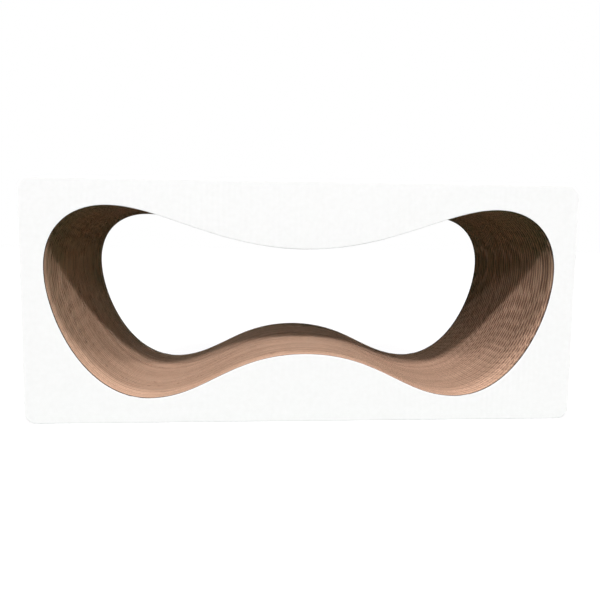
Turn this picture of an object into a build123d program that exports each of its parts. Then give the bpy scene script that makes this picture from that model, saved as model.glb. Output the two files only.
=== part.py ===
from build123d import *
import os

# A cardboard cat scratcher: a free-standing block of die-cut corrugated sheets, glued face to face
# from front to back. Every sheet has the same rounded outline and the same opening, a lying figure
# eight whose floor is a wavy seat with a hump between two hollows. The block's front and back are
# covered by a smooth printed paper. The sheets' flutes stand upright and are open at the cut edges.
# Millimetres, +X along the block's length, +Y from front to back, +Z up. The origin is in the middle of
# the block's footprint, on the floor.

# Overall size
width = 480.0
height = 209.0
corner_radius = 10.0

# Board: the thickness of one corrugated sheet with its share of glue, and how many are stacked
board_thickness = 4.8
core_sheet_count = 40
face_paper_thickness = 0.3

# Fluting inside a board: its papers, the distance from one flute to the next, how many flutes lie from
# one open channel to the next, and a channel's width on its liner as a share of a flute
liner_thickness = 0.32
medium_thickness = 0.24
flute_pitch = 9.4
flutes_per_channel = 2
channel_width_share = 0.9
cut_overrun = 1.0

# Walls that are left round the opening
side_wall = 19.0
bottom_wall = 21.4
top_wall = 22.4

# The hump in the middle of the opening's floor, and the sag in the middle of its roof
hump_rise = 38.2
roof_sag = 35.4

# Where the outline of the opening is level or upright: the lowest point of a hollow and the highest
# point of a vault as shares of the opening's half width, the widest place of its height
hollow_share = 0.61
vault_share = 0.76
widest_share = 0.675

# How far the curve keeps its direction beside these points, as shares of the span to the next one
hump_handle_share = 0.49
hollow_inner_handle_share = 0.35
hollow_outer_handle_share = 0.64
flank_lower_handle_share = 0.36
flank_upper_handle_share = 0.62
vault_outer_handle_share = 0.61
vault_inner_handle_share = 0.26
sag_handle_share = 0.45


def opening_half_outline():
    """The right half of the opening's outline, from the hump round to the sag of the roof."""
    half_width = width / 2 - side_wall
    low = bottom_wall
    high = height - top_wall
    hollow_x = half_width * hollow_share
    vault_x = half_width * vault_share
    widest_z = low + (high - low) * widest_share

    hump = Vector(0, low + hump_rise)
    hollow = Vector(hollow_x, low)
    flank = Vector(half_width, widest_z)
    vault = Vector(vault_x, high)
    sag = Vector(0, high - roof_sag)

    floor_curve = Bezier(
        hump,
        hump + Vector(hollow_x * hump_handle_share, 0),
        hollow - Vector(hollow_x * hollow_inner_handle_share, 0),
        hollow,
    )
    lower_flank = Bezier(
        hollow,
        hollow + Vector((half_width - hollow_x) * hollow_outer_handle_share, 0),
        flank - Vector(0, (widest_z - low) * flank_lower_handle_share),
        flank,
    )
    upper_flank = Bezier(
        flank,
        flank + Vector(0, (high - widest_z) * flank_upper_handle_share),
        vault + Vector((half_width - vault_x) * vault_outer_handle_share, 0),
        vault,
    )
    roof_curve = Bezier(
        vault,
        vault - Vector(vault_x * vault_inner_handle_share, 0),
        sag + Vector(vault_x * sag_handle_share, 0),
        sag,
    )
    return [floor_curve, lower_flank, upper_flank, roof_curve]


def sheet_profile():
    """The outline that every sheet and both face papers are cut to, standing on the floor at Y = 0."""
    right_half = opening_half_outline()
    left_half = [edge.mirror(Plane.YZ) for edge in right_half]
    opening = make_face(right_half + left_half)
    blank = Pos(0, height / 2) * RectangleRounded(width, height, corner_radius)
    return Plane.XZ * (blank - opening)


def sheet(profile, thickness):
    """A plain sheet, its front face at Y = 0."""
    return extrude(profile, amount=thickness, dir=(0, 1, 0))


def channel(x, turned):
    """One open flute from the floor to the top. It narrows from the front liner to the crest of the fluted
    paper or, where it is turned, from the back liner."""
    half_width = flute_pitch * channel_width_share / 2
    liner = liner_thickness
    crest = board_thickness - liner_thickness - medium_thickness
    if turned:
        liner, crest = board_thickness - liner, board_thickness - crest
    section = make_face(Polyline((x - half_width, liner), (x + half_width, liner), (x, crest), close=True))
    return extrude(Pos(0, 0, -cut_overrun) * section, amount=height + 2 * cut_overrun, dir=(0, 0, 1))


def board(profile, first_flute):
    """A corrugated board with open channels on both sides of its middle, clear of the rounded corners.
    The flutes are counted from the middle, and neighbouring channels are turned the other way round."""
    reach = width / 2 - corner_radius - flute_pitch * channel_width_share / 2
    flutes = range(first_flute, int(reach / flute_pitch) + 1, flutes_per_channel)
    channels = []
    for count, flute in enumerate(flutes):
        for place in sorted({-flute, flute}):
            channels.append(channel(place * flute_pitch, count % 2 == 1))
    return sheet(profile, board_thickness) - channels


def stack_plan():
    """The name and the thickness of every sheet, from front to back."""
    core = [(f"core_sheet_{number:02d}", board_thickness) for number in range(1, core_sheet_count + 1)]
    front = [("front_face_paper", face_paper_thickness), ("front_cover_board", board_thickness)]
    back = [("back_cover_board", board_thickness), ("back_face_paper", face_paper_thickness)]
    return front + core + back


def main():
    os.makedirs("parts", exist_ok=True)
    plan = stack_plan()
    profile = sheet_profile()
    face_paper = sheet(profile, face_paper_thickness)
    boards = [board(profile, first_flute) for first_flute in range(flutes_per_channel)]
    depth = sum(thickness for name, thickness in plan)
    front = -depth / 2
    for number, (name, thickness) in enumerate(plan):
        piece = face_paper if name.endswith("paper") else boards[number % flutes_per_channel]
        export_step(Pos(0, front, 0) * piece, f"parts/{name}.step")
        front += thickness


main()
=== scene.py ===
import math

import bpy
import numpy as np
from mathutils import Matrix, Vector
from mathutils.geometry import delaunay_2d_cdt


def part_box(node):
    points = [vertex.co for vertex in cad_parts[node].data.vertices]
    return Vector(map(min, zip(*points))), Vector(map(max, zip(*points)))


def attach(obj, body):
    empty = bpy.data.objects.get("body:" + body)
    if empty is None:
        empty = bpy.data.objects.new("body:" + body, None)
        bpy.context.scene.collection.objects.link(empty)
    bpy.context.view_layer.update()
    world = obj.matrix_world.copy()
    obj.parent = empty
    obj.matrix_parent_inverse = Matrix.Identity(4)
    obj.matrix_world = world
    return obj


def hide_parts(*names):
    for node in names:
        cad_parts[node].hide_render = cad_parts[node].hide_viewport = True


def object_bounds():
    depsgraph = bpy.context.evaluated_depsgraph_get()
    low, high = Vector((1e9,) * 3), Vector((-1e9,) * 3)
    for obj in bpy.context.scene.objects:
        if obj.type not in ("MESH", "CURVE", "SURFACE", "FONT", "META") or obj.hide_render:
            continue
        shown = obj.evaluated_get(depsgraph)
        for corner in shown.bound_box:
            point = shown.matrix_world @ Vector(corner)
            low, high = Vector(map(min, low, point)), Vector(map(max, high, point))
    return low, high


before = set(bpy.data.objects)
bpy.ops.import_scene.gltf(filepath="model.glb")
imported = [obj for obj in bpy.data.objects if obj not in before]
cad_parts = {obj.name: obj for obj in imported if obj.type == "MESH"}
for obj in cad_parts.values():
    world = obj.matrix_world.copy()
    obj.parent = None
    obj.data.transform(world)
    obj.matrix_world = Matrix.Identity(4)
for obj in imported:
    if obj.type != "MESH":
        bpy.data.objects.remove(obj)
cad_low, cad_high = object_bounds()

# A cardboard cat scratcher: a stack of upright corrugated boards with a lying, bone-shaped opening cut
# through all of them, and a white paper on its front and its back. One piece stands for each node.
# Every length is in metres, and the small ones are written as millimetres.
MM = 0.001
SEED = 29

# Corrugated board: the papers' thicknesses, frayed by the cut, the distance between flutes and the glue
LINER = 0.70 * MM
MEDIUM = 0.60 * MM
FLUTE_PITCH = 4.7 * MM
SAMPLES_PER_FLUTE = 10
GLUE_GAP = 0.03 * MM

# How far one board may differ from the next: its place in the stack, where its flutes start as shares of a
# flute, and the waves that bend its flutes out of step, in radians from the middle to an end
SHIFT_ALONG = 0.22 * MM
SHIFT_UP = 0.16 * MM
FLUTE_DRIFT_SHARE = 0.17
FLUTE_WANDER_SHARE = 0.14
FLUTE_WARP = 0.45 * MM
FLUTE_WARP_RADIANS = (4.0, 9.0)

# Cut edges: how ragged the papers are, how high the waves are in which a liner's edge strays, how many go
# round it, and how far it may stand proud of its line
MEDIUM_RAGGED = 0.05 * MM
LINER_RAGGED = 0.025 * MM
WAVER = 0.10 * MM / 3
WAVER_TURNS = (3, 7, 12, 19, 31)
PROUD_LIMIT = 0.12 * MM

# The skin of fibres that the blade has drawn across the flutes, along the opening's floor and up its left
# flank: how far behind the cut it lies on the left and at the right end, where less than zero is proud of
# the cut, how much that differs, and its thickness
SKIN_RECESS = -0.06 * MM
SKIN_RIGHT_RECESS = 0.25 * MM
SKIN_ROUGHNESS = 0.03 * MM
SKIN_THICKNESS = 0.25 * MM

# Where the skin is whole and where it ends: on the right as shares of the way from the middle to the
# opening's right end, and on the left as heights
SKIN_WHOLE_SHARE = 0.77
SKIN_END_SHARE = 0.90
SKIN_WHOLE_UP_TO = 130.0 * MM
SKIN_ENDS_AT = 160.0 * MM

# How the skin tears: how strongly in every board, and towards the left end in the two that are torn the
# most, the share of the board that it covers untorn, over one so that small tears don't show, the least
# that is left, and how far a torn strip strays across the board
SKIN_TEAR = 0.30
SKIN_TORN_TEAR = 3.0
SKIN_TORN_BOARDS = (9, 12)
SKIN_UNTORN_SHARE = 1.4
SKIN_LEAST_SHARE = 0.03
SKIN_STRAY_SHARE = 0.1

# Spacing of points along the opening and along the straight outer edges, how many points a finer copy of
# the opening has for each of them, and the steps round a corner and between two points of a smooth curve
OPENING_STEP = 2.4 * MM
EDGE_STEP = 12.0 * MM
FINE_POINTS_PER_STEP = 8
CORNER_STEPS = 10
CURVE_STEPS = 32

# When places count as the same: off a plane, as decimals of a metre, in a filled face and between columns
PLANE_TOLERANCE = 0.01 * MM
PLACE_DECIMALS = 6
FILL_TOLERANCE = 1e-9
COLUMN_TOLERANCE = 0.02 * MM

# The pressed rim that cutting leaves round a face paper: how deep it dips, how wide it is, and where it is
# divided, as shares of its width from the cut
RIM_DEPTH = 0.12 * MM
RIM_WIDTH = 0.6 * MM
RIM_SHARES = (0.0, 0.12, 0.3, 0.55, 1.0)

# Kraft papers, each with a dark tone, a light tone and a roughness
# The faces inside the flutes: tones far below the same papers' cut edges, partly their own colour and mostly
# painted shade of the flute cells
LINER_KRAFT_WITH_CELL_SHADE = ((0.20, 0.126, 0.085), (0.31, 0.196, 0.135), 0.88)
CUT_KRAFT = ((0.58, 0.364, 0.250), (0.77, 0.498, 0.356), 0.95)
MEDIUM_CUT_KRAFT = ((0.378, 0.251, 0.168), (0.513, 0.349, 0.242), 0.95)
FACE_CUT_KRAFT = ((0.07, 0.04, 0.03), (0.16, 0.10, 0.075), 0.9)
KRAFT_SPECULAR = 0.12

# The grain of kraft paper: its blotches and fibres, how much these and the board's own tone count, between
# which sums the paper goes from dark to light, and the relief of the fibres
BLOTCH_SCALE = 90.0
BLOTCH_DETAIL = 4.0
FIBRE_SCALE = (500.0, 2600.0, 2600.0)
FIBRE_DETAIL = 3.0
BOARD_TONE_SHARE = 0.35
BLOTCH_TONE_SHARE = 0.45
FIBRE_TONE_SHARE = 0.55
KRAFT_DARK_AT = 0.30
KRAFT_LIGHT_AT = 0.95
FIBRE_RELIEF = 0.08 * MM
FIBRE_RELIEF_SHARE = 0.35

# Painted shade: a dark line where the cut edge meets a face paper, its depth, where unshaded board begins,
# and its tone
PAINTED_SHADE_TO = 1.6 * MM
UNSHADED_FROM = 3.2 * MM
PAINTED_SHADE_SHARE = 0.15

# White paper: its two tones and where its mottle reaches them, its gloss, and the relief of the flutes
# beneath it and of its own grain
WHITE_DARK = (0.832, 0.832, 0.824)
WHITE_LIGHT = (0.862, 0.862, 0.857)
WHITE_DARK_AT = 0.25
WHITE_LIGHT_AT = 0.75
WHITE_ROUGHNESS = 0.48
WHITE_SPECULAR = 0.35
MOTTLE_SCALE = 260.0
MOTTLE_DETAIL = 5.0
GRAIN_SCALE = 2400.0
GRAIN_DETAIL = 2.0
GRAIN_SHARE = 0.25
WHITE_RELIEF = 0.06 * MM
WHITE_RELIEF_SHARE = 0.25

# The studio floor, a disc just below the block: its size, its looks, and the colour of what it throws back
FLOOR_RADIUS = 8.0
FLOOR_SIDES = 96
FLOOR_DROP = 0.05 * MM
FLOOR_GLOW = 0.88
FLOOR_SHADE = (0.12, 0.12, 0.12)
FLOOR_BOUNCE = (0.006, 0.055, 0.028)

# The dim fill that lights the shadows, stronger in front of the block than behind it
FILL_COLOUR = (0.55, 1.0, 0.76)
FILL_FRONT = 0.12
FILL_BACK = 0.03

# Lamps: the way that their light goes, its strength and its spread in degrees. Their colour makes up for
# the fill's, so that the white paper stays neutral.
LAMP_COLOUR = (1.0, 0.945, 0.977)
LAMPS = {
    "front_right_lamp": ((-0.38, 1.0, -0.95), 1.70, 4.0),
    "front_left_lamp": ((0.47, 1.0, -0.95), 1.68, 4.0),
    "low_left_lamp": ((0.24, 1.0, -0.54), 0.40, 4.0),
    "low_right_lamp": ((-0.10, 1.0, -0.44), 0.41, 4.0),
    "ceiling_lamp": ((0.0, 0.16, -1.0), 1.2, 8.0),
    "left_side_lamp": ((1.0, 0.045, -0.35), 1.9, 6.0),
    "right_side_lamp": ((-1.0, 0.045, -0.35), 1.9, 6.0),
    "back_lamp": ((0.0, -1.0, 0.0), 3.4, 4.0),
}

# Photograph's camera: 600 pixels across a 36 mm sensor, its place measured from the front panel's foot
IMAGE_PIXELS = 600
FOCAL_PIXELS = 624.1
SENSOR_MM = 36.0
CAMERA_FROM_FOOT = Vector((-0.0438, -0.5364, 0.1605))
CAMERA_TURN = math.radians(-4.14)
CAMERA_DROP = math.radians(5.65)
CAMERA_ROLL = math.radians(0.60)
CAMERA_NEAR = 0.01
CAMERA_FAR = 100.0

# Material slots of a piece, the two sides of a paper with the way round that their faces are listed, the
# kind of filling that keeps within its edges, and the sockets of a node that mixes colours
SURFACE, CUT, DARK_CUT, MEDIUM_CUT = range(4)
SIDES = (("front", 1), ("back", -1))
FILL_INSIDE = 1
MIX_SHARE, MIX_FIRST, MIX_SECOND, MIX_RESULT = 0, 6, 7, 2

paper_nodes = ["front_face_paper", "back_face_paper"]
board_nodes = sorted((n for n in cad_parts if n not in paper_nodes), key=lambda n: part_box(n)[0].y)
board_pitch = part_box(board_nodes[1])[0].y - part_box(board_nodes[0])[0].y


# Outlines, read from the frame

def face_loops(node):
    """The edges of a sheet's front face as closed loops of x and z, the outer outline first."""
    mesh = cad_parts[node].data
    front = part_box(node)[0].y
    sides = set()
    for polygon in mesh.polygons:
        corners = [mesh.vertices[i].co for i in polygon.vertices]
        if all(abs(c.y - front) < PLANE_TOLERANCE for c in corners):
            keys = [(round(c.x, PLACE_DECIMALS), round(c.z, PLACE_DECIMALS)) for c in corners]
            sides.update(zip(keys, keys[1:] + keys[:1]))
    following = {a: b for a, b in sides if (b, a) not in sides}
    loops = []
    while following:
        first, here = following.popitem()
        loop = [first]
        while here != first:
            loop.append(here)
            here = following.pop(here)
        loops.append(np.array(loop))
    return sorted(loops, key=lambda loop: -np.ptp(loop[:, 0]))


def signed_area(loop):
    """The area inside a loop, less than zero where it runs clockwise."""
    following = np.roll(loop, -1, 0)
    return float(np.sum(loop[:, 0] * following[:, 1] - following[:, 0] * loop[:, 1])) / 2


def smooth_loop(points, step):
    """The closed cubic curve through the points, at an even step."""
    after = np.roll(points, -1, 0) - points
    reach = np.linalg.norm(after, axis=1, keepdims=True)
    reach_before = np.roll(reach, 1, 0)
    slope = after / reach
    slope_before = np.roll(slope, 1, 0)
    tangent = (slope * reach_before + slope_before * reach) / (reach + reach_before)
    t = np.linspace(0, 1, CURVE_STEPS, endpoint=False)[:, None, None]
    start, end = points[None], np.roll(points, -1, 0)[None]
    leave, arrive = (tangent * reach)[None], (np.roll(tangent, -1, 0) * reach)[None]
    dense = (
        (2 * t**3 - 3 * t**2 + 1) * start
        + (t**3 - 2 * t**2 + t) * leave
        + (3 * t**2 - 2 * t**3) * end
        + (t**3 - t**2) * arrive
    )
    dense = dense.transpose(1, 0, 2).reshape(-1, 2)
    closed = np.vstack([dense, dense[:1]])
    length = np.r_[0, np.cumsum(np.linalg.norm(np.diff(closed, axis=0), axis=1))]
    count = round(length[-1] / step)
    places = np.arange(count) * length[-1] / count
    return np.c_[np.interp(places, length, closed[:, 0]), np.interp(places, length, closed[:, 1])]


def loop_normals(loop):
    """Unit normals on the right-hand side of the direction of travel, which points out of the board."""
    along = np.roll(loop, -1, 0) - np.roll(loop, 1, 0)
    along /= np.linalg.norm(along, axis=1, keepdims=True)
    return np.c_[along[:, 1], -along[:, 0]]


def rounded_outline(reach, top, radius):
    """The outer outline, anticlockwise from the lower right corner, with its straight edges divided."""
    points = []
    corners = [
        (reach - radius, radius, -90),
        (reach - radius, top - radius, 0),
        (radius - reach, top - radius, 90),
        (radius - reach, radius, 180),
    ]
    for index, (x, z, turn) in enumerate(corners):
        for step in range(CORNER_STEPS + 1):
            angle = math.radians(turn + 90 * step / CORNER_STEPS)
            points.append((x + radius * math.cos(angle), z + radius * math.sin(angle)))
        next_x, next_z, next_turn = corners[(index + 1) % len(corners)]
        angle = math.radians(next_turn)
        last = np.array(points[-1])
        end = np.array((next_x + radius * math.cos(angle), next_z + radius * math.sin(angle)))
        pieces = round(math.dist(last, end) / EDGE_STEP)
        for piece in range(1, pieces):
            points.append(tuple(last + (end - last) * piece / pieces))
    return np.array(points)


def floor_and_roof(loop):
    """The opening's lower and upper edge as two chains from its left end to its right end."""
    loop = np.roll(loop, -int(loop[:, 0].argmin()), axis=0)
    turn = int(loop[:, 0].argmax())
    chains = [loop[: turn + 1], np.vstack([loop[turn:], loop[:1]])[::-1]]
    return sorted(chains, key=lambda chain: chain[:, 1].mean())


outer_loop, opening_loop = face_loops(board_nodes[0])
if signed_area(opening_loop) > 0:
    opening_loop = opening_loop[::-1]
half_width = float(outer_loop[:, 0].max())
block_height = float(outer_loop[:, 1].max())
top_edge = outer_loop[outer_loop[:, 1] > block_height - PLANE_TOLERANCE]
corner_radius = half_width - float(top_edge[:, 0].max())
outline = rounded_outline(half_width, block_height, corner_radius)
outline_out = loop_normals(outline)
opening = smooth_loop(opening_loop, OPENING_STEP)
opening_out = loop_normals(opening)
floor_chain, roof_chain = floor_and_roof(smooth_loop(opening_loop, OPENING_STEP / FINE_POINTS_PER_STEP))
opening_left, opening_right = float(floor_chain[0, 0]), float(floor_chain[-1, 0])


def floor_and_roof_at(x):
    """The height of the opening's lower and upper edge at each x."""
    floor = np.interp(x, floor_chain[:, 0], floor_chain[:, 1])
    roof = np.interp(x, roof_chain[:, 0], roof_chain[:, 1])
    return floor, roof


def bottom_and_top_at(x):
    """The height of the outer outline's lower and upper edge at each x."""
    past = np.clip(np.abs(x) - (half_width - corner_radius), 0, corner_radius)
    rise = corner_radius - np.sqrt(corner_radius**2 - past**2)
    return rise, block_height - rise


def within_opening(x):
    """Whether each x lies between the opening's two ends."""
    return (x > opening_left) & (x < opening_right)


# Meshes

class Shell:
    """Gathers the points and faces of one piece, which may be several closed shells."""

    def __init__(self):
        self.points, self.faces, self.slots, self.smooth = [], [], [], []

    def add_points(self, x, y, z):
        """Takes up a row of points and tells their numbers."""
        first = sum(len(row) for row in self.points)
        self.points.append(np.stack(np.broadcast_arrays(x, y, z), -1))
        return first + np.arange(len(self.points[-1]))

    def add_faces(self, faces, slot, smooth=False):
        faces = np.asarray(faces, int).tolist()
        self.faces += faces
        self.slots += [slot] * len(faces)
        self.smooth += [smooth] * len(faces)

    def make(self, name, materials):
        mesh = bpy.data.meshes.new(name)
        mesh.from_pydata(np.vstack(self.points).tolist(), [], self.faces)
        for material in materials:
            mesh.materials.append(material)
        mesh.polygons.foreach_set("material_index", self.slots)
        mesh.polygons.foreach_set("use_smooth", self.smooth)
        mesh.update()
        piece = bpy.data.objects.new(name, mesh)
        bpy.context.scene.collection.objects.link(piece)
        return piece


def fill_triangles(loops):
    """Triangles, anticlockwise, between an outline and an opening, as indices into both loops in a row."""
    points = np.vstack(loops)
    edges, first = [], 0
    for loop in loops:
        edges += [(first + k, first + (k + 1) % len(loop)) for k in range(len(loop))]
        first += len(loop)
    corners = [Vector(point) for point in points]
    places, _, found, origin = delaunay_2d_cdt(corners, edges, [], FILL_INSIDE, FILL_TOLERANCE)[:4]
    middle = np.array([np.mean([places[i] for i in triangle], axis=0) for triangle in found])
    floor, roof = floor_and_roof_at(middle[:, 0])
    in_opening = (middle[:, 1] > floor) & (middle[:, 1] < roof) & within_opening(middle[:, 0])
    found = np.array([[origin[i][0] for i in triangle] for triangle in found])[~in_opening]
    a, b, c = (points[found[:, k]] for k in range(3))
    turned = (b[:, 0] - a[:, 0]) * (c[:, 1] - a[:, 1]) - (c[:, 0] - a[:, 0]) * (b[:, 1] - a[:, 1]) < 0
    found[turned] = found[turned][:, ::-1]
    return found


flat_fill = fill_triangles([outline, opening])
rim_fill = fill_triangles([outline - outline_out * RIM_WIDTH, opening - opening_out * RIM_WIDTH])


def add_plate(shell, front, back, shift, waver, rim, rim_side, cuts):
    """A sheet of paper from front to back, with the outline and the opening cut out of it.
    A rim dips the edge that cutting has pressed: towards +Y where rim_side is 1 and -Y where it is -1."""
    shares = RIM_SHARES if rim else (0.0,)
    rings = {}
    for side, y in (("front", front), ("back", back)):
        rings[side] = []
        for share in shares:
            dip = rim * (1 - share) ** 2 * rim_side
            pair = []
            for loop, out, edge in zip((outline, opening), (outline_out, opening_out), waver):
                place = loop + out * (edge[:, None] - RIM_WIDTH * share)
                pair.append(shell.add_points(place[:, 0] + shift[0], y + dip, place[:, 1] + shift[1]))
            rings[side].append(pair)
    for index, cut in enumerate(cuts):
        a, b = rings["front"][0][index], rings["back"][0][index]
        shell.add_faces(np.c_[a, b, np.roll(b, -1), np.roll(a, -1)], cut)
        for ring in range(len(shares) - 1):
            for side, turn in SIDES:
                near, far = rings[side][ring][index], rings[side][ring + 1][index]
                quads = np.c_[near, np.roll(near, -1), np.roll(far, -1), far]
                shell.add_faces(quads[:, ::turn], SURFACE, True)
    for side, turn in SIDES:
        corners = np.concatenate(rings[side][-1])
        shell.add_faces(corners[rim_fill if rim else flat_fill][:, ::turn], SURFACE)


def medium_columns():
    """Where the fluted paper is divided along X: evenly, and closer where the outlines are steep."""
    count = round(2 * half_width / FLUTE_PITCH * SAMPLES_PER_FLUTE)
    even = np.linspace(-half_width, half_width, count + 1)
    angles = np.linspace(0, math.pi / 2, CORNER_STEPS + 1)
    corner = half_width - corner_radius + corner_radius * np.sin(angles)
    steep = opening[np.abs(opening_out[:, 0]) > np.abs(opening_out[:, 1])][:, 0]
    joined = np.sort(np.r_[even, corner, -corner, steep, opening_left, opening_right])
    return joined[np.r_[True, np.diff(joined) > COLUMN_TOLERANCE]]


columns = medium_columns()
column_is_open = within_opening(columns)


def flute_wave(middle, swing, phase, warp):
    """The fluted paper's middle line at every column, and the way from there to its back face."""
    bend = sum(FLUTE_WARP * np.sin(columns * radians / half_width + start) for radians, start in warp)
    angle = 2 * math.pi * (columns + bend) / FLUTE_PITCH + phase
    wave = middle + swing * np.sin(angle)
    slope = np.gradient(wave, columns)
    size = np.sqrt(1 + slope**2)
    return wave, np.array([-slope / size, 1 / size]) * MEDIUM / 2


def medium_heights(rng):
    """The frayed edges of the fluted paper: at the bottom, under and over the opening, and at the top.
    Beside the opening its two edges meet at the height of its end."""
    bottom, top = bottom_and_top_at(columns)
    floor, roof = floor_and_roof_at(columns)
    end = np.where(columns < 0, floor_chain[0, 1], floor_chain[-1, 1])
    frayed = np.abs(rng.normal(0, MEDIUM_RAGGED, (4, len(columns))))
    under = np.where(column_is_open, floor - frayed[1], end)
    over = np.where(column_is_open, roof + frayed[2], end)
    return [bottom + frayed[0], under, over, top - frayed[3]]


def add_medium(shell, middle, swing, phase, warp, shift, rng):
    """The fluted paper between two liners: a wave along X, upright, cut by the outline and the opening."""
    bottom, under, over, top = range(4)
    wave, across = flute_wave(middle, swing, phase, warp)
    heights = medium_heights(rng)
    rows = {}
    for side, turn in SIDES:
        x, y = columns - turn * across[0], wave - turn * across[1]
        rows[side] = [shell.add_points(x + shift[0], y, z + shift[1]) for z in heights]
        rows[side][over] = np.where(column_is_open, rows[side][over], rows[side][under])
    k, n = np.arange(len(columns) - 1), np.arange(1, len(columns))
    for lower, upper in ((bottom, under), (over, top)):
        for side, turn in SIDES:
            a, b = rows[side][lower], rows[side][upper]
            shell.add_faces(np.c_[a[k], a[n], b[n], b[k]][:, ::turn], SURFACE, True)
    everywhere = np.full(len(k), True)
    open_here = column_is_open[k] | column_is_open[n]
    edges = ((bottom, 1, everywhere), (top, -1, everywhere), (under, -1, open_here), (over, 1, open_here))
    for row, turn, wanted in edges:
        a, b = rows["front"][row], rows["back"][row]
        shell.add_faces(np.c_[a[k], b[k], b[n], a[n]][wanted][:, ::turn], MEDIUM_CUT)
    a, b = rows["front"], rows["back"]
    for end, turn in ((-1, 1), (0, -1)):
        for lower, upper in ((bottom, under), (over, top)):
            quad = [a[lower][end], b[lower][end], b[upper][end], a[upper][end]]
            shell.add_faces([quad[::turn]], MEDIUM_CUT)


def skin_extent():
    """The points of the opening that the skin runs along, from right to left, and how whole it is there."""
    from_right = np.roll(np.arange(len(opening)), -int(opening[:, 0].argmax()))
    course = from_right[: int((opening[from_right, 1] > SKIN_ENDS_AT).argmax())]
    share_to_end = opening[course, 0] / opening_right
    rightward = (SKIN_END_SHARE - share_to_end) / (SKIN_END_SHARE - SKIN_WHOLE_SHARE)
    upward = (SKIN_ENDS_AT - opening[course, 1]) / (SKIN_ENDS_AT - SKIN_WHOLE_UP_TO)
    whole = np.clip(np.minimum(rightward, upward), 0, 1)
    return course[whole > 0], whole[whole > 0]


skin_course, skin_whole = skin_extent()


def add_skin(shell, front, back, shift, edge, tear, rng):
    """Fibres drawn across the flutes along the floor and the left flank, a thin skin from liner to liner."""
    count = len(skin_course)
    along = opening[skin_course, 0]
    pulls = rng.normal(0, 1, count + 2)
    torn = np.abs(pulls[:-2] + pulls[1:-1] + pulls[2:]) / 3
    tearing = np.interp(along, (opening_left, 0.0), (tear, SKIN_TEAR))
    cover = np.clip(skin_whole * SKIN_UNTORN_SHARE - tearing * torn**2, SKIN_LEAST_SHARE, 1)
    middle = (front + back) / 2 + rng.normal(0, SKIN_STRAY_SHARE, count) * (back - front) * (1 - cover)
    half = (back - front) / 2 * cover
    recess = np.interp(along, (0.0, opening_right), (SKIN_RECESS, SKIN_RIGHT_RECESS))
    proud = edge[skin_course] - recess - np.abs(rng.normal(0, SKIN_ROUGHNESS, count))
    corners = []
    for y, depth in ((-half, 0), (half, 0), (half, SKIN_THICKNESS), (-half, SKIN_THICKNESS)):
        place = opening[skin_course] + opening_out[skin_course] * (proud - depth)[:, None]
        corners.append(shell.add_points(place[:, 0] + shift[0], middle + y, place[:, 1] + shift[1]))
    for a, b in zip(corners, corners[1:] + corners[:1]):
        shell.add_faces(np.c_[a[:-1], b[:-1], b[1:], a[1:]], MEDIUM_CUT)
    for end, turn in ((0, -1), (-1, 1)):
        shell.add_faces([[corner[end] for corner in corners][::turn]], MEDIUM_CUT)


def edge_waver(rng):
    """How far a cut edge strays from its line, for the outline and for the opening."""
    found = []
    for loop in (outline, opening):
        place = np.arange(len(loop)) / len(loop) * 2 * math.pi
        waves = sum(
            rng.normal(0, WAVER) * np.sin(turns * place + rng.uniform(0, 2 * math.pi))
            for turns in WAVER_TURNS
        )
        found.append(np.minimum(waves + rng.normal(0, LINER_RAGGED, len(loop)), PROUD_LIMIT))
    return found


def make_board(node, number, phase, materials, rim_front, rim_back):
    """One corrugated board: two liners with a fluted medium between them, and the skin over its flutes.
    A liner under a face paper has that paper's rim and dark cut edge."""
    rng = np.random.default_rng(SEED + number)
    low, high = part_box(node)
    front, back = low.y + GLUE_GAP, high.y - GLUE_GAP
    shift = (rng.normal(0, SHIFT_ALONG), abs(rng.normal(0, SHIFT_UP)))
    waver = edge_waver(rng)
    warp = [(radians, rng.uniform(0, 2 * math.pi)) for radians in FLUTE_WARP_RADIANS]
    shell = Shell()
    front_cuts = (CUT, DARK_CUT if rim_front else CUT)
    back_cuts = (CUT, DARK_CUT if rim_back else CUT)
    add_plate(shell, front, front + LINER, shift, waver, rim_front, 1, front_cuts)
    add_plate(shell, back - LINER, back, shift, waver, rim_back, -1, back_cuts)
    room_front, room_back = front + LINER + rim_front, back - LINER - rim_back
    swing = (room_back - room_front - MEDIUM) / 2
    add_medium(shell, (room_front + room_back) / 2, swing, phase, warp, shift, rng)
    tear = SKIN_TORN_TEAR if number in SKIN_TORN_BOARDS else SKIN_TEAR
    add_skin(shell, room_front, room_back, shift, waver[1], tear, rng)
    piece = shell.make(f"board_{number:02d}", materials)
    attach(piece, "root")
    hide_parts(node)


def make_paper(node, rim_side, materials):
    """A face paper, its edges pressed towards the block where they were cut."""
    low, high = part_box(node)
    shell = Shell()
    still = [np.zeros(len(outline)), np.zeros(len(opening))]
    add_plate(shell, low.y, high.y, (0.0, 0.0), still, RIM_DEPTH, rim_side, (SURFACE, CUT))
    piece = shell.make(f"{node}_sheet", materials)
    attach(piece, "root")
    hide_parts(node)


# Nodes that the materials share

def add_node(tree, kind, inputs=None, **settings):
    """A new node. Each of its inputs is a plain value, or another node's output that is linked to it."""
    made = tree.nodes.new(kind)
    for key, value in settings.items():
        setattr(made, key, value)
    for key, value in (inputs or {}).items():
        if isinstance(value, bpy.types.NodeSocket):
            tree.links.new(value, made.inputs[key])
        else:
            made.inputs[key].default_value = value
    return made


def calculate(tree, operation, *values):
    return add_node(tree, "ShaderNodeMath", dict(enumerate(values)), operation=operation).outputs[0]


def noise(tree, place, scale, detail):
    inputs = {"Vector": place, "Scale": scale, "Detail": detail}
    return add_node(tree, "ShaderNodeTexNoise", inputs).outputs["Fac"]


def remap(tree, value, start, end, first, last):
    """A value that goes from first to last while the given one goes from start to end."""
    inputs = {"Value": value, "From Min": start, "From Max": end, "To Min": first, "To Max": last}
    return add_node(tree, "ShaderNodeMapRange", inputs).outputs[0]


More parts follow.
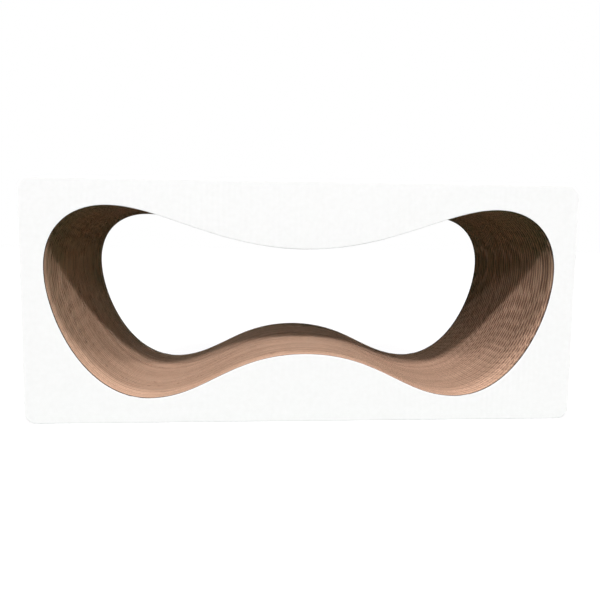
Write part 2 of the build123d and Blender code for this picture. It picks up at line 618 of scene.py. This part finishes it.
def tone(tree, value, dark, light, dark_at, light_at):
    """A colour that goes from dark to light while the value goes from dark_at to light_at."""
    made = add_node(tree, "ShaderNodeValToRGB", {"Fac": value})
    first, last = made.color_ramp.elements
    first.position, last.position = dark_at, light_at
    first.color, last.color = (*dark, 1), (*light, 1)
    return made.outputs["Color"]


def add_relief(tree, shader, height, distance, share):
    """Gives the surface the look of a relief."""
    inputs = {"Height": height, "Distance": distance, "Strength": share}
    bump = add_node(tree, "ShaderNodeBump", inputs)
    tree.links.new(bump.outputs["Normal"], shader.inputs["Normal"])


def new_material(name):
    material = bpy.data.materials.new(name)
    material.use_nodes = True
    tree = material.node_tree
    shader = tree.nodes["Principled BSDF"]
    return material, tree, shader


# Materials

def painted_edge_shade(tree, along, depth, up):
    """How much of its brightness the paper keeps under a painted shade: little beside a face paper, but only
    in the opening.
    """
    reach = (half_width + opening_right) / 2
    low = float(floor_chain[:, 1].min() / 2)
    high = float((block_height + roof_chain[:, 1].max()) / 2)
    beside = calculate(tree, "COMPARE", along, 0.0, reach)
    level = calculate(tree, "COMPARE", up, (low + high) / 2, (high - low) / 2)
    within = calculate(tree, "MULTIPLY", beside, level)
    least = calculate(tree, "MULTIPLY_ADD", within, PAINTED_SHADE_SHARE - 1, 1.0)
    to_face = calculate(tree, "SUBTRACT", cad_high.y, calculate(tree, "ABSOLUTE", depth))
    return remap(tree, to_face, PAINTED_SHADE_TO, UNSHADED_FROM, least, 1.0)


def kraft(name, dark, light, roughness):
    """Brown kraft paper: blotches, fibres and a tone of its own for every board of the stack."""
    material, tree, shader = new_material(name)
    place = add_node(tree, "ShaderNodeTexCoord").outputs["Object"]
    along, depth, up = add_node(tree, "ShaderNodeSeparateXYZ", {"Vector": place}).outputs
    number = calculate(tree, "FLOOR", calculate(tree, "DIVIDE", depth, board_pitch))
    own = add_node(tree, "ShaderNodeTexWhiteNoise", {"W": number}, noise_dimensions="1D").outputs["Value"]
    blotch = noise(tree, place, BLOTCH_SCALE, BLOTCH_DETAIL)
    stretched = add_node(tree, "ShaderNodeMapping", {"Vector": place, "Scale": FIBRE_SCALE}).outputs[0]
    fibre = noise(tree, stretched, 1.0, FIBRE_DETAIL)
    total = calculate(tree, "MULTIPLY", own, BOARD_TONE_SHARE)
    total = calculate(tree, "MULTIPLY_ADD", blotch, BLOTCH_TONE_SHARE, total)
    total = calculate(tree, "MULTIPLY_ADD", fibre, FIBRE_TONE_SHARE, total)
    unshaded = tone(tree, total, dark, light, KRAFT_DARK_AT, KRAFT_LIGHT_AT)
    # Painted shade: the cut edges darken towards the face papers inside the opening
    inputs = {MIX_SHARE: 1.0, MIX_FIRST: unshaded, MIX_SECOND: painted_edge_shade(tree, along, depth, up)}
    shaded = add_node(tree, "ShaderNodeMix", inputs, data_type="RGBA", blend_type="MULTIPLY")
    tree.links.new(shaded.outputs[MIX_RESULT], shader.inputs["Base Color"])
    add_relief(tree, shader, fibre, FIBRE_RELIEF, FIBRE_RELIEF_SHARE)
    shader.inputs["Roughness"].default_value = roughness
    shader.inputs["Specular IOR Level"].default_value = KRAFT_SPECULAR
    return material


def white_paper():
    """Smooth white paper, faintly mottled, with the board's flutes showing through as a slight ripple."""
    material, tree, shader = new_material("white_face")
    place = add_node(tree, "ShaderNodeTexCoord").outputs["Object"]
    mottle = noise(tree, place, MOTTLE_SCALE, MOTTLE_DETAIL)
    paper = tone(tree, mottle, WHITE_DARK, WHITE_LIGHT, WHITE_DARK_AT, WHITE_LIGHT_AT)
    tree.links.new(paper, shader.inputs["Base Color"])
    along = add_node(tree, "ShaderNodeSeparateXYZ", {"Vector": place}).outputs["X"]
    ripple = calculate(tree, "SINE", calculate(tree, "MULTIPLY", along, 2 * math.pi / FLUTE_PITCH))
    grain = noise(tree, place, GRAIN_SCALE, GRAIN_DETAIL)
    height = calculate(tree, "MULTIPLY_ADD", grain, GRAIN_SHARE, ripple)
    add_relief(tree, shader, height, WHITE_RELIEF, WHITE_RELIEF_SHARE)
    shader.inputs["Roughness"].default_value = WHITE_ROUGHNESS
    shader.inputs["Specular IOR Level"].default_value = WHITE_SPECULAR
    return material


# The block

def build_block():
    """All boards from front to back, with flutes that drift from one to the next, and the face papers."""
    # The kraft of the faces inside the flutes carries painted shade of the flute cells
    liner = kraft("kraft_liner_with_cell_shade", *LINER_KRAFT_WITH_CELL_SHADE)
    cut = kraft("kraft_cut_edge", *CUT_KRAFT)
    medium_cut = kraft("kraft_medium_edge", *MEDIUM_CUT_KRAFT)
    face = white_paper()
    face_cut = kraft("face_cut_edge", *FACE_CUT_KRAFT)
    rng = np.random.default_rng(SEED)
    phase = rng.uniform(0, 2 * math.pi)
    last = len(board_nodes) - 1
    for number, node in enumerate(board_nodes):
        rim_front = RIM_DEPTH if number == 0 else 0.0
        rim_back = RIM_DEPTH if number == last else 0.0
        make_board(node, number, phase, [liner, cut, face_cut, medium_cut], rim_front, rim_back)
        phase += 2 * math.pi * rng.normal(FLUTE_DRIFT_SHARE, FLUTE_WANDER_SHARE)
    make_paper("front_face_paper", 1, [face, face_cut])
    make_paper("back_face_paper", -1, [face, face_cut])


# Stage, light and camera

def seen_rays(tree):
    """One for rays that show the surroundings, straight on, in gloss or through glass, and else zero."""
    path = add_node(tree, "ShaderNodeLightPath").outputs
    direct = calculate(tree, "MAXIMUM", path["Is Camera Ray"], path["Is Glossy Ray"])
    return calculate(tree, "MAXIMUM", direct, path["Is Transmission Ray"])


def make_floor():
    """A pale disc that shows the block's shadow and throws little light back."""
    angles = [2 * math.pi * side / FLOOR_SIDES for side in range(FLOOR_SIDES)]
    ring = [(FLOOR_RADIUS * math.cos(angle), FLOOR_RADIUS * math.sin(angle), 0) for angle in angles]
    mesh = bpy.data.meshes.new("floor")
    mesh.from_pydata(ring, [], [list(range(FLOOR_SIDES))])
    floor = bpy.data.objects.new("floor", mesh)
    floor.location.z = -FLOOR_DROP
    bpy.context.scene.collection.objects.link(floor)
    material, tree, shader = new_material("pale_floor")
    tree.nodes.remove(shader)
    bounce = add_node(tree, "ShaderNodeBsdfDiffuse", {"Color": (*FLOOR_BOUNCE, 1)}).outputs[0]
    shade = add_node(tree, "ShaderNodeBsdfDiffuse", {"Color": (*FLOOR_SHADE, 1)}).outputs[0]
    glow = add_node(tree, "ShaderNodeEmission", {"Color": (1, 1, 1, 1), "Strength": FLOOR_GLOW}).outputs[0]
    seen = add_node(tree, "ShaderNodeAddShader", {0: shade, 1: glow}).outputs[0]
    mix = add_node(tree, "ShaderNodeMixShader", {0: seen_rays(tree), 1: bounce, 2: seen}).outputs[0]
    tree.links.new(mix, tree.nodes["Material Output"].inputs["Surface"])
    mesh.materials.append(material)


def make_world():
    """White surroundings where they are seen, and a dim fill where they light the block."""
    world = bpy.data.worlds.new("studio")
    world.use_nodes = True
    tree = world.node_tree
    tree.nodes.clear()
    direction = add_node(tree, "ShaderNodeTexCoord").outputs["Generated"]
    backward = add_node(tree, "ShaderNodeSeparateXYZ", {"Vector": direction}).outputs["Y"]
    level = remap(tree, backward, -1.0, 1.0, FILL_FRONT, FILL_BACK)
    fill = add_node(tree, "ShaderNodeBackground", {"Color": (*FILL_COLOUR, 1), "Strength": level}).outputs[0]
    white = add_node(tree, "ShaderNodeBackground", {"Color": (1, 1, 1, 1), "Strength": 1.0}).outputs[0]
    mix = add_node(tree, "ShaderNodeMixShader", {0: seen_rays(tree), 1: fill, 2: white}).outputs[0]
    add_node(tree, "ShaderNodeOutputWorld", {"Surface": mix})
    bpy.context.scene.world = world


def make_lamps():
    for name, (travel, strength, spread_degrees) in LAMPS.items():
        lamp = bpy.data.lights.new(name, "SUN")
        lamp.energy = strength
        lamp.color = LAMP_COLOUR
        lamp.angle = math.radians(spread_degrees)
        holder = bpy.data.objects.new(name, lamp)
        holder.rotation_euler = Vector(travel).to_track_quat("-Z", "Y").to_euler()
        bpy.context.scene.collection.objects.link(holder)


def make_camera():
    data = bpy.data.cameras.new("camera")
    data.sensor_width = SENSOR_MM
    data.lens = FOCAL_PIXELS / IMAGE_PIXELS * SENSOR_MM
    data.clip_start = CAMERA_NEAR
    data.clip_end = CAMERA_FAR
    camera = bpy.data.objects.new("camera", data)
    turn = Matrix.Rotation(CAMERA_TURN, 4, "Z")
    drop = Matrix.Rotation(math.pi / 2 - CAMERA_DROP, 4, "X")
    roll = Matrix.Rotation(CAMERA_ROLL, 4, "Z")
    place = Matrix.Translation(Vector((0, cad_low.y, 0)) + CAMERA_FROM_FOOT)
    camera.matrix_world = place @ turn @ drop @ roll
    bpy.context.scene.collection.objects.link(camera)
    bpy.context.scene.camera = camera


build_block()
make_floor()
make_world()
make_lamps()
make_camera()
bpy.context.scene.view_settings.view_transform = "Standard"
